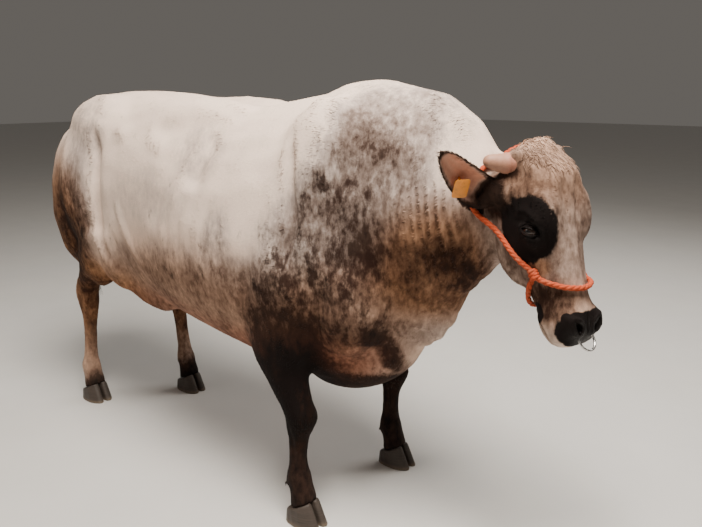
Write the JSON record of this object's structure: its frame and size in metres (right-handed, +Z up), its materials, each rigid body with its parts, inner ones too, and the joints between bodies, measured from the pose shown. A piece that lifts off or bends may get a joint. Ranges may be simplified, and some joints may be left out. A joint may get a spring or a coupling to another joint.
{
  "type": "standing bull",
  "caption": "Life-size still model of a heavily muscled bull standing four-square with its head hanging, in a rope halter.",
  "frame": {"origin": "centre of the bounding box's base, on the floor under the middle of the bull", "axes": "+X forwards, from tail to head; +Y to the bull's left; +Z up"},
  "size_m": [2.701, 0.7634, 1.5612],
  "materials": {
    "coat": "short hair, cream to grey with dark mottling",
    "horn": "smooth pale horn",
    "hoof": "dull dark horn",
    "eye": "wet and dark",
    "rope": "twisted fibre",
    "tag": "flexible plate",
    "steel": "worn",
    "dark_hair": "long hair"
  },
  "bodies": {
    "root": {"claw_foreleg_L_inner": "hoof", "claw_foreleg_L_outer": "hoof", "claw_foreleg_R_inner": "hoof", "claw_foreleg_R_outer": "hoof", "claw_hindleg_L_inner": "hoof", "claw_hindleg_L_outer": "hoof", "claw_hindleg_R_inner": "hoof", "claw_hindleg_R_outer": "hoof", "ear_L": "coat", "ear_R": "coat", "ear_tag": "tag", "eye_L": "eye", "eye_R": "eye", "foreleg_L": "coat", "foreleg_R": "coat", "halter": "rope", "head": "coat", "hindleg_L": "coat", "hindleg_R": "coat", "horn_L": "horn", "horn_R": "horn", "neck": "coat", "nose_ring": "steel", "tail": "coat", "tail_switch": "dark_hair", "torso": "coat"}
  },
  "joints": []
}
